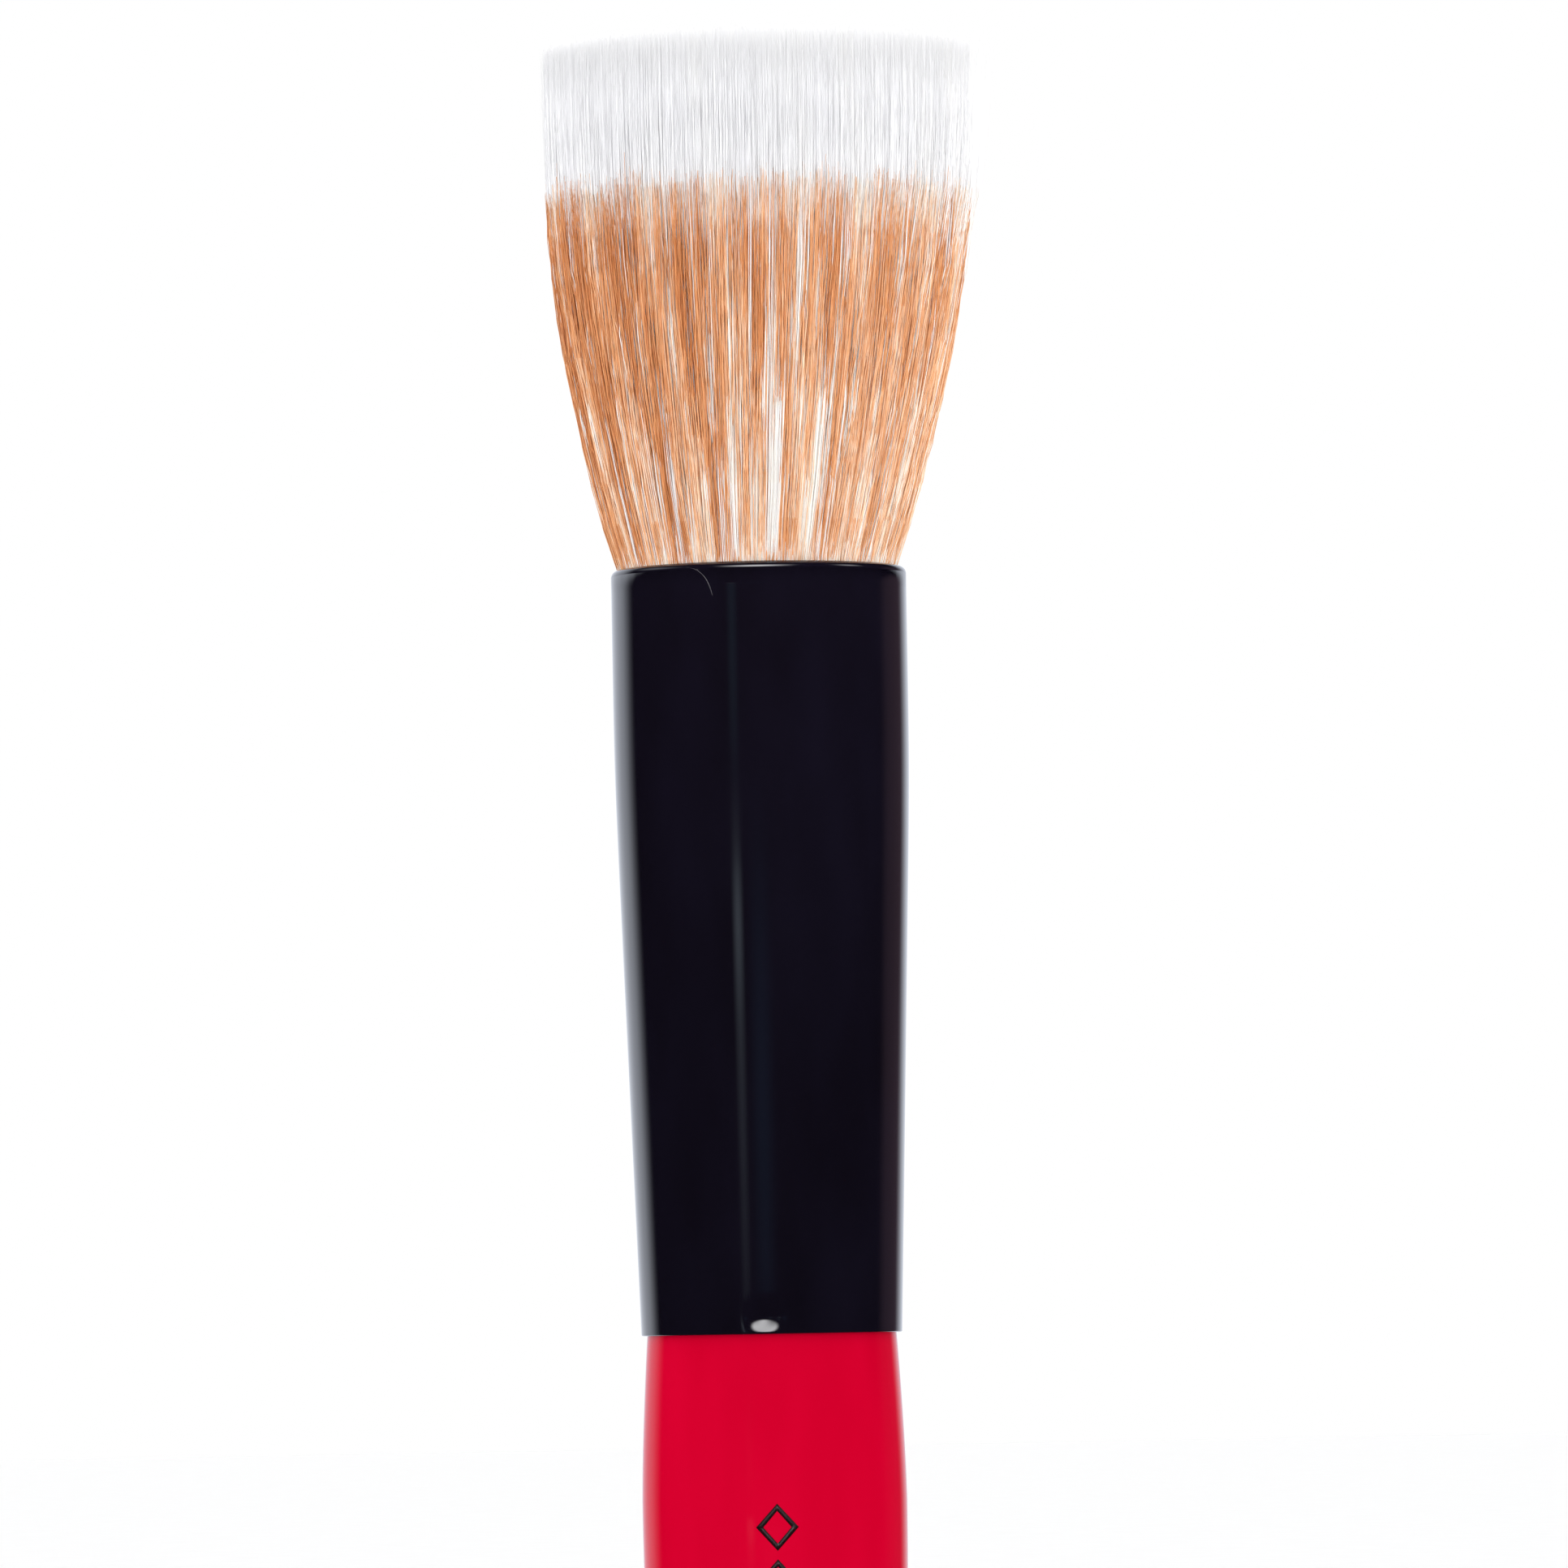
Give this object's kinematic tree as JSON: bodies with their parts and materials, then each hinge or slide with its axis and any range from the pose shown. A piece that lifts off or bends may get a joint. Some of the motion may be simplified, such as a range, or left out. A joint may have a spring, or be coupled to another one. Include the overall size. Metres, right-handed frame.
{
  "type": "round duo-fibre stippling brush",
  "caption": "Round stippling brush with a flat top of long white fibres over short copper ones, a black crimped ferrule and a red lacquered wooden handle.",
  "frame": {"origin": "centre of the handle's flat end", "axes": "+Z along the brush's axis from the handle's end to the fibre tips; -Y is the side with the front crimp and the printed mark; +X to the right of that side"},
  "size_m": [0.0304, 0.0304, 0.1798],
  "materials": {
    "red_lacquered_wood": "gloss",
    "cured_glue": "satin",
    "black_enamelled_aluminium": "gloss",
    "amber_resin": "gloss",
    "cotton_thread": "matte",
    "copper_fibre": "satin",
    "white_fibre": "satin"
  },
  "bodies": {
    "root": {"handle": "red_lacquered_wood", "handle_adhesive": "cured_glue", "ferrule": "black_enamelled_aluminium", "root_epoxy": "amber_resin", "binding_thread": "cotton_thread", "copper_fibres": "copper_fibre", "white_fibres": "white_fibre"}
  },
  "joints": []
}
